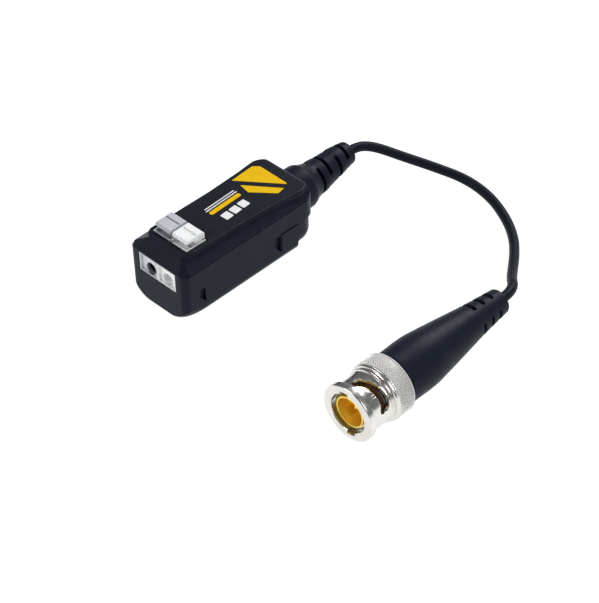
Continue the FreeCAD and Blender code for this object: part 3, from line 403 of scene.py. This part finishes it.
def revolve(name, profile, n, cx, cz, phase=0.0):
    """Closed (radius, y) profile turned about the line x=cx, z=cz."""
    verts, faces = [], []
    m = len(profile)
    for r, y in profile:
        for k in range(n):
            a = 2 * math.pi * (k + phase) / n
            verts.append((cx + r * math.sin(a), y, cz + r * math.cos(a)))
    for i in range(m):
        j = (i + 1) % m
        for k in range(n):
            l = (k + 1) % n
            faces.append((i * n + k, i * n + l, j * n + l, j * n + k))
    ob = mesh_object(name, verts, faces)
    bm = bmesh.new()
    bm.from_mesh(ob.data)
    bmesh.ops.remove_doubles(bm, verts=bm.verts, dist=1e-5)
    bmesh.ops.dissolve_degenerate(bm, edges=bm.edges, dist=1e-6)
    bmesh.ops.recalc_face_normals(bm, faces=bm.faces)
    bm.to_mesh(ob.data)
    bm.free()
    return ob


def smooth_profile(points, step):
    """A denser profile through the given points (monotone cubic on the second value)."""
    out = []
    n = len(points)
    for i in range(n - 1):
        p0 = points[max(i - 1, 0)]
        p1, p2 = points[i], points[i + 1]
        p3 = points[min(i + 2, n - 1)]
        length = math.dist(p1, p2)
        k = max(1, int(round(length / step)))
        for j in range(k):
            t = j / k
            t2, t3 = t * t, t * t * t
            out.append(tuple(0.5 * ((2 * b) + (-a + c) * t + (2 * a - 5 * b + 4 * c - d) * t2
                                    + (-a + 3 * b - 3 * c + d) * t3)
                             for a, b, c, d in zip(p0, p1, p2, p3)))
    out.append(points[-1])
    return out


def arc(cr, cy, radius, a0, a1, n):
    """Points of a small rounding in a profile; angles from +r towards +y."""
    return [(cr + radius * math.cos(math.radians(a0 + (a1 - a0) * k / n)),
             cy + radius * math.sin(math.radians(a0 + (a1 - a0) * k / n))) for k in range(n + 1)]


def sector_cutter(name, cx, cz, y0, y1, r_in, r_out, mid, half, n=40):
    """A ring sector about a Y axis, with its ends brought together softly."""
    verts, faces = [], []
    for k in range(n + 1):
        u = -1 + 2 * k / n
        a = math.radians(mid + half * u)
        pinch = max(0.0, 1.0 - ((abs(u) - (1 - 0.07)) / 0.07) ** 2) ** 0.5 if abs(u) > 0.93 else 1.0
        pinch = max(pinch, 0.18)
        ym, hy = (y0 + y1) / 2, (y1 - y0) / 2 * pinch
        for r, y in ((r_in, ym - hy), (r_out, ym - hy), (r_out, ym + hy), (r_in, ym + hy)):
            verts.append((cx + r * math.sin(a), y, cz + r * math.cos(a)))
    for k in range(n):
        for q in range(4):
            w = (q + 1) % 4
            faces.append((4 * k + q, 4 * k + w, 4 * k + 4 + w, 4 * k + 4 + q))
    faces.append((0, 3, 2, 1))
    faces.append((4 * n, 4 * n + 1, 4 * n + 2, 4 * n + 3))
    ob = mesh_object(name, verts, faces)
    fix_normals(ob)
    return ob


def box_object(name, x0, x1, y0, y1, z0, z1):
    v = [(x, y, z) for x in (x0, x1) for y in (y0, y1) for z in (z0, z1)]
    f = [(0, 1, 3, 2), (4, 6, 7, 5), (0, 4, 5, 1), (2, 3, 7, 6), (0, 2, 6, 4), (1, 5, 7, 3)]
    ob = mesh_object(name, v, f)
    fix_normals(ob)
    return ob


# ---------------------------------------------------------------- cable
# Control points of the lead's line between the two boots, in millimetres.
ROUTE = [(0, 41.9, 9.8), (0, 45.0, 9.8), (1.25, 48.3, 8.9), (3.6, 50.8, 7.7), (7.6, 54.0, 5.7),
         (13.6, 58.3, 3.4), (21.8, 61.9, 1.75), (30.6, 61.1, 1.3), (39.0, 57.2, 1.35), (45.2, 52.6, 1.7),
         (50.0, 47.1, 2.6), (54.0, 41.6, 4.0), (57.2, 37.3, 5.6), (59.9, 34.6, 6.9), (61.3, 31.3, 7.41),
         (61.3, 28.0, 7.41)]
NECK_Z, TAIL_LIFT = 8.65, 1.15


def make_cable():
    cu = bpy.data.curves.new("coax_lead", "CURVE")
    cu.dimensions = "3D"
    sp = cu.splines.new("NURBS")
    sp.points.add(len(ROUTE) - 1)
    for p, c in zip(sp.points, ROUTE):
        p.co = (c[0] * MM, c[1] * MM, c[2] * MM, 1.0)
    sp.order_u = 3
    sp.use_endpoint_u = True
    sp.resolution_u = 24
    cu.resolution_u = 24
    cu.bevel_depth = 1.25 * MM
    cu.bevel_resolution = 10
    cu.use_fill_caps = True
    cu.materials.append(MAT["jacket"])
    ob = bpy.data.objects.new("coax_lead", cu)
    scene.collection.objects.link(ob)
    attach(ob, "balun")
    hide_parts("coax_cable")
    return ob


lead = make_cable()


# ---------------------------------------------------------------- housing
shell = copy_cad("lower_shell", "shell_tray")
soften(shell, 0.12, 3, 28.0)
settle(shell, "balun", MAT["case"], ["lower_shell"])

cover = copy_cad("upper_cover", "shell_cover")
soften(cover, 0.1, 3, 20.0)
settle(cover, "balun", MAT["case"], ["upper_cover"])
# painted shade: the cover's upward faces above the shoulder get the darker deck copy of the case black
cover.data.materials.append(MAT["deck"])
for face in cover.data.polygons:
    c = face.center
    if face.normal.z > 0.6 and c.z > 0.01644 + 0.0257 * (0.02145 - c.y) - 0.0003:
        face.material_index = 1

for colour, x0 in (("grey", -1), ("white", 1)):
    t = copy_cad("terminal_body_" + colour, "terminal_" + colour)
    soften(t, 0.07, 2)
    settle(t, "balun", MAT["grey_body" if x0 < 0 else "white"], ["terminal_body_" + colour])
    lv = copy_cad("lever_" + colour, "push_lever_" + colour)
    soften(lv, 0.18, 3)
    settle(lv, "lever_" + colour, MAT[colour], ["lever_" + colour])


# ---------------------------------------------------------------- strain reliefs
def housing_relief():
    outer = [(5.75, 21.9), (5.75, 25.1)] + smooth_profile(
        [(5.73, 25.5), (5.55, 26.1), (4.95, 27.4), (4.53, 29.0), (4.46, 30.0), (4.42, 31.2), (4.2, 32.4), (4.05, 33.4),
         (3.93, 34.4), (3.84, 35.4), (3.76, 36.4), (3.66, 37.4), (3.5, 38.4), (3.34, 39.4), (3.18, 40.4),
         (3.06, 41.2)], 0.4)
    tail = arc(2.66, 41.5, 0.38, 12, 90, 6)
    profile = [(0.0, 18.8), (4.9, 18.8), (4.9, 20.15), (4.2, 20.15), (4.2, 21.61)] \
        + arc(5.45, 21.91, 0.3, -90, 0, 4) + outer[1:] + tail + [(1.7, 41.88), (1.35, 41.6), (0.0, 41.6)]
    ob = revolve("relief_housing", profile, 128, 0.0, NECK_Z)
    cutters = []
    for k, (y, face) in enumerate([(29.5, 90.0), (32.4, 0.0), (36.0, 90.0), (39.2, 0.0)]):
        for turn in (0.0, 180.0):
            cutters.append(sector_cutter("cut_%d_%d" % (k, turn), 0.0, NECK_Z, y - 0.55, y + 0.55, 1.9, 8.0,
                                         face + turn, 70.0))
    boolean(ob, cutters)
    soften(ob, 0.13, 3, 40.0)
    # the free end is bent up a little
    for v in ob.data.vertices:
        t = max(0.0, min(1.0, (v.co.y - 29.0) / 12.0))
        v.co.z += TAIL_LIFT * (t * t * (3 - 2 * t))
    return settle(ob, "balun", MAT["boot"], ["housing_boot"], weighted=False, smooth=50.0)


def plug_relief():
    outer = smooth_profile(
        [(6.57, -7.2), (6.60, -4.3), (6.65, -1.7), (6.56, 0.95), (6.26, 3.5), (5.9, 6.2), (5.53, 8.9), (5.14, 11.65),
         (4.74, 14.4), (4.35, 17.15), (4.01, 19.9), (3.70, 22.75), (3.36, 26.0), (3.2, 27.3)], 0.5)
    tail = arc(2.7, 27.5, 0.5, 5, 90, 6)
    profile = [(4.35, -8.0)] + arc(6.2, -7.65, 0.35, -90, -5, 5) + outer + tail \
        + [(1.6, 28.0), (1.3, 27.75), (0.0, 27.75), (0.0, 1.7), (2.9, 1.7), (2.9, -7.4), (4.35, -7.4)]
    ob = revolve("relief_plug", profile, 128, PLUG_X, PLUG_Z)
    cutters = []
    for k, y in enumerate([18.5, 21.6, 24.6]):
        for turn in (0.0, 180.0):
            cutters.append(sector_cutter("cutp_%d_%d" % (k, turn), PLUG_X, PLUG_Z, y - 0.55, y + 0.55, 1.9, 8.0,
                                         131.0 + turn, 64.0))
    boolean(ob, cutters)
    soften(ob, 0.12, 3, 40.0)
    return settle(ob, "balun", MAT["boot"], ["plug_boot"], weighted=False, smooth=50.0)


boot_a = housing_relief()
boot_b = plug_relief()

# ---------------------------------------------------------------- bayonet nut
BAYONET = [(-15.5, 3.6, 4.6), (-13.5, 2.95, 4.95), (-10.0, 2.6, 5.1), (-5.0, 2.55, 5.28), (4.0, 3.15, 5.7),
           (12.0, 3.72, 6.0), (25.0, 4.2, 6.4), (41.0, 4.55, 6.8), (55.0, 4.66, 6.97), (63.0, 4.5, 6.98),
           (70.0, 4.12, 6.85), (75.0, 3.98, 6.6), (79.0, 4.15, 6.2), (81.3, 4.5, 5.75), (82.0, 5.0, 5.25)]


def slot_cutter(name, turn):
    n = 90
    verts, faces = [], []
    pts = BAYONET
    xs = [p[0] for p in pts]

    def at(a, k):
        for i in range(len(xs) - 1):
            if a <= xs[i + 1] + 1e-9:
                t = (a - xs[i]) / (xs[i + 1] - xs[i])
                p0, p1 = pts[i][k], pts[i + 1][k]
                pm = pts[max(i - 1, 0)][k]
                pp = pts[min(i + 2, len(pts) - 1)][k]
                m0 = (p1 - pm) / 2 if i else (p1 - p0)
                m1 = (pp - p0) / 2 if i + 2 < len(pts) else (p1 - p0)
                t2, t3 = t * t, t * t * t
                return (2 * t3 - 3 * t2 + 1) * p0 + (t3 - 2 * t2 + t) * m0 + (-2 * t3 + 3 * t2) * p1 + (t3 - t2) * m1
        return pts[-1][k]

    for k in range(n + 1):
        u = 0.5 - 0.5 * math.cos(math.pi * k / n)
        a = xs[0] + (xs[-1] - xs[0]) * u
        s0, s1 = at(a, 1), at(a, 2)
        w = math.radians(a + turn)
        for r, s in ((5.2, s0), (7.0, s0), (7.0, s1), (5.2, s1)):
            verts.append((PLUG_X + r * math.sin(w), LIP + s, PLUG_Z + r * math.cos(w)))
    for k in range(n):
        for q in range(4):
            w = (q + 1) % 4
            faces.append((4 * k + q, 4 * k + w, 4 * k + 4 + w, 4 * k + 4 + q))
    faces.append((0, 3, 2, 1))
    faces.append((4 * n, 4 * n + 1, 4 * n + 2, 4 * n + 3))
    ob = mesh_object(name, verts, faces)
    fix_normals(ob)
    return ob




def bayonet_nut():
    n = 504
    L = LIP
    profile = [(4.95, L + 0.15), (5.1, L), (6.7, L)] + arc(6.85, L + 0.35, 0.35, -90, 0, 5)[1:] \
        + [(7.2, L + 1.45)] + arc(7.0, L + 1.5, 0.2, 0, 90, 4) + [(6.62, L + 1.74)] \
        + arc(6.62, L + 1.96, 0.22, 270, 180, 4)[1:] \
        + [(6.4, L + 3.0), (6.4, L + 5.0), (6.4, L + 7.15)] + [(6.46, L + 7.3), (6.78, L + 7.42)] \
        + arc(6.75, L + 7.6, 0.12, -60, 60, 3) + [(6.78, L + 7.78), (6.52, L + 7.9), (6.5, L + 8.0), (6.5, L + 8.2),
                                                  (6.56, L + 8.3), (7.0, L + 8.42), (7.1, L + 8.52), (7.12, L + 8.95),
                                                  (7.18, L + 9.05), (7.38, L + 9.12)]
    rows = 47
    for k in range(rows + 1):
        profile.append((KNURL_R, L + KNURL_A + (KNURL_B - KNURL_A) * k / rows))
    profile += [(7.38, L + 13.62), (7.2, L + 13.85), (7.0, L + 14.0), (6.25, L + 14.0), (6.1, L + 13.85),
                (6.1, L + 11.0), (4.5, L + 11.0), (4.45, L + 10.95), (4.45, L + 9.65), (4.5, L + 9.6),
                (5.6, L + 9.6), (5.6, L + 4.0), (5.6, L + 1.6), (4.95, L + 1.6)]
    ob = revolve("bayonet_nut", profile, n, PLUG_X, PLUG_Z)
    cutters = [slot_cutter("slot_a", 0.0), slot_cutter("slot_b", 180.0)]
    for k, turn in enumerate((-12.0, 168.0)):
        cutters.append(sector_cutter("entry_%d" % k, PLUG_X, PLUG_Z, L - 0.6, L + 1.9, 4.2, 5.75, turn, 13.0, 16))
    boolean(ob, cutters)
    soften(ob, 0.1, 2, 48.0)
    # diamond knurl pressed into the rear band
    bm = bmesh.new()
    bm.from_mesh(ob.data)
    pitch_s = 2 * math.pi * KNURL_R / TEETH
    for v in bm.verts:
        x, y, z = v.co.x - PLUG_X, v.co.y - L, v.co.z - PLUG_Z
        r = math.hypot(x, z)
        if abs(r - KNURL_R) < 0.012 and KNURL_A - 0.01 <= y <= KNURL_B + 0.01:
            ang = math.atan2(x, z) / (2 * math.pi) * TEETH
            p = ang + y / pitch_s
            q = ang - y / pitch_s
            tp = abs((p % 1.0) - 0.5) * 2
            tq = abs((q % 1.0) - 0.5) * 2
            deep = max(tp, tq)
            deep = min(1.0, max(0.0, (deep - 0.15) / 0.8))
            fade = min(1.0, (y - KNURL_A) / 0.12, (KNURL_B - y) / 0.12)
            rr = KNURL_R - KNURL_DEEP * deep * max(0.0, fade)
            v.co.x = PLUG_X + x / r * rr
            v.co.z = PLUG_Z + z / r * rr
    bm.to_mesh(ob.data)
    bm.free()
    settle(ob, "coupling_nut", MAT["nickel"], ["coupling_nut"], weighted=False, smooth=40.0)
    ob.data.materials.append(MAT["knurl"])
    for face in ob.data.polygons:
        c = face.center
        r = math.hypot(c.x - PLUG_X * MM, c.z - PLUG_Z * MM)
        if KNURL_A - 0.05 < c.y / MM - L < KNURL_B + 0.05 and r > 0.0070:
            face.material_index = 1
    return ob


nut = bayonet_nut()


# ---------------------------------------------------------------- plug inside
def outer_sleeve():
    L = LIP
    profile = [(3.55, L + 7.4), (3.55, L + 0.85), (3.62, L + 0.72), (3.72, L + 0.7), (3.9, L + 0.7), (4.0, L + 0.76),
               (4.05, L + 0.9), (4.05, L + 3.0), (4.05, L + 6.0), (3.85, L + 6.0), (3.85, L + 7.4)]
    ob = revolve("sleeve_gold", profile, 96, PLUG_X, PLUG_Z)
    return settle(ob, "balun", MAT["gold"], ["outer_contact"], weighted=False, smooth=40.0)


sleeve = outer_sleeve()

for node, mat in (("circuit_board", "board"), ("contact_bar_grey", "tin"), ("contact_bar_white", "tin"),
                  ("clamp_spring_grey", "steel"), ("clamp_spring_white", "steel"), ("choke_core", "ferrite"),
                  ("choke_winding_a", "copper"), ("choke_winding_b", "copper"), ("filter_capacitor", "blue"),
                  ("surge_arrester", "tin"), ("chip_resistor", "ferrite"), ("cable_core", "ptfe"),
                  ("shield_tail", "tin"), ("crimp_ferrule", "nickel"), ("plug_body", "nickel"),
                  ("insulator", "gold"), ("centre_pin", "gold"), ("gasket", "seal"), ("wave_washer", "steel"),
                  ("thrust_washer", "steel"), ("retaining_ring", "steel")):
    dress(NODES[node], MAT[mat])
for o in NODES.values():
    for p in o.data.polygons:
        p.use_smooth = True
    o.data.set_sharp_from_angle(angle=math.radians(30))

# ---------------------------------------------------------------- deck print
DECK_F, DECK_R = (-18.7, 17.47), (21.45, 16.44)


def deck_z(y):
    return DECK_F[1] + (DECK_R[1] - DECK_F[1]) * (y - DECK_F[0]) / (DECK_R[0] - DECK_F[0])


def print_shape(name, loops, mat, thick=0.018):
    """Ink on the deck: closed outlines in x, y, raised a hair above it."""
    bm = bmesh.new()
    for loop in loops:
        low = [bm.verts.new((x, y, deck_z(y) - 0.01)) for x, y in loop]
        top = [bm.verts.new((x, y, deck_z(y) + thick)) for x, y in loop]
        bm.faces.new(top)
        bm.faces.new(low[::-1])
        n = len(loop)
        for i in range(n):
            j = (i + 1) % n
            bm.faces.new((low[i], low[j], top[j], top[i]))
    bmesh.ops.recalc_face_normals(bm, faces=bm.faces)
    me = bpy.data.meshes.new(name)
    bm.to_mesh(me)
    bm.free()
    ob = bpy.data.objects.new(name, me)
    scene.collection.objects.link(ob)
    return settle(ob, "balun", mat, weighted=False, smooth=30.0)


def rounded(points, radius, n=5):
    out = []
    m = len(points)
    for i in range(m):
        p = Vector(points[i]).to_2d() if len(points[i]) > 2 else Vector(points[i])
        a, b = Vector(points[i - 1]), Vector(points[(i + 1) % m])
        u, w = (a - p), (b - p)
        r = min(radius, u.length * 0.45, w.length * 0.45)
        u.normalize()
        w.normalize()
        s, e = p + u * r, p + w * r
        for k in range(n + 1):
            t = k / n
            q = s * (1 - t) ** 2 + p * 2 * t * (1 - t) + e * t * t
            out.append((q.x, q.y))
    return out


def bar(x0, y0, x1, y1, half, radius=None):
    """A straight bar with rounded ends from one point to another."""
    d = Vector((x1 - x0, y1 - y0))
    d.normalize()
    n = Vector((-d.y, d.x)) * half
    a, b = Vector((x0, y0)), Vector((x1, y1))
    pts = [tuple(a - n), tuple(b - n), tuple(b + n), tuple(a + n)]
    return rounded(pts, half * 0.95 if radius is None else radius, 6)


print_shape("print_field", [rounded([(-6.3, 8.7), (4.0, 16.95), (3.6, 17.25), (-5.5, 17.4), (-6.85, 15.95)], 0.25)],
            MAT["ink_yellow"])
print_shape("print_stripe", [rounded([(-3.6, 8.9), (-0.25, 8.3), (5.1, 13.0), (4.7, 15.4)], 0.2)], MAT["ink_yellow"])
print_shape("print_pill", [bar(-1.2, 6.5, -0.6, -3.7, 0.62)], MAT["ink_yellow"])
print_shape("print_blocks", [rounded([(0.75, 5.6), (0.95, 3.3), (3.35, 3.45), (3.15, 5.75)], 0.35),
                             rounded([(1.0, 2.7), (1.2, 0.4), (3.6, 0.55), (3.4, 2.85)], 0.35),
                             rounded([(1.25, -0.2), (1.45, -2.5), (3.85, -2.35), (3.65, -0.05)], 0.35)],
            MAT["ink_white"])
print_shape("print_lines", [bar(-2.45, 6.6, -1.85, -3.9, 0.16), bar(-3.2, 6.4, -2.6, -3.6, 0.16)], MAT["ink_white"])


# ---------------------------------------------------------------- floor, light
def make_floor():
    me = bpy.data.meshes.new("floor")
    s = 3.0
    me.from_pydata([(-s, -s, -0.00002), (s, -s, -0.00002), (s, s, -0.00002), (-s, s, -0.00002)], [], [(0, 1, 2, 3)])
    ob = bpy.data.objects.new("floor", me)
    scene.collection.objects.link(ob)
    m, nt, b = new_material("floor_paper")
    vec = coords(nt)
    nt.links.new(mix(nt, remap(nt, noise(nt, vec, 40.0, 3.0), 0.3, 0.7, 0.0, 1.0), (0.20, 0.20, 0.205),
                     (0.23, 0.23, 0.235)), b.inputs["Base Color"])
    b.inputs["Roughness"].default_value = 0.9
    b.inputs["Specular IOR Level"].default_value = 0.0
    b.inputs["Emission Color"].default_value = (1.0, 1.0, 1.0, 1.0)
    b.inputs["Emission Strength"].default_value = 0.95
    ob.data.materials.append(m)


make_floor()


def area(name, loc, target, size, power, size_y=None, colour=(1, 1, 1)):
    data = bpy.data.lights.new(name, "AREA")
    data.shape = "RECTANGLE" if size_y else "SQUARE"
    data.size = size
    if size_y:
        data.size_y = size_y
    data.energy = power
    data.color = colour
    ob = bpy.data.objects.new(name, data)
    scene.collection.objects.link(ob)
    ob.location = loc
    ob.rotation_euler = (Vector(target) - Vector(loc)).to_track_quat("-Z", "Y").to_euler()
    ob.visible_camera = False
    return ob


area("soft_back", (-0.10, 0.62, 0.55), (0.03, 0.01, 0.0), 0.42, 6.0)
area("soft_right", (0.62, 0.05, 0.50), (0.04, 0.0, 0.01), 0.30, 1.6, 0.40)
area("soft_front", (-0.30, -0.62, 0.50), (0.03, 0.0, 0.01), 0.40, 2.4, 0.30)

world = bpy.data.worlds.new("studio")
scene.world = world
world.use_nodes = True
bg = next(n for n in world.node_tree.nodes if n.type == "BACKGROUND")
bg.inputs["Color"].default_value = (0.93, 0.95, 1.0, 1.0)
bg.inputs["Strength"].default_value = 0.16
scene.view_settings.view_transform = "Standard"
scene.view_settings.look = "None"
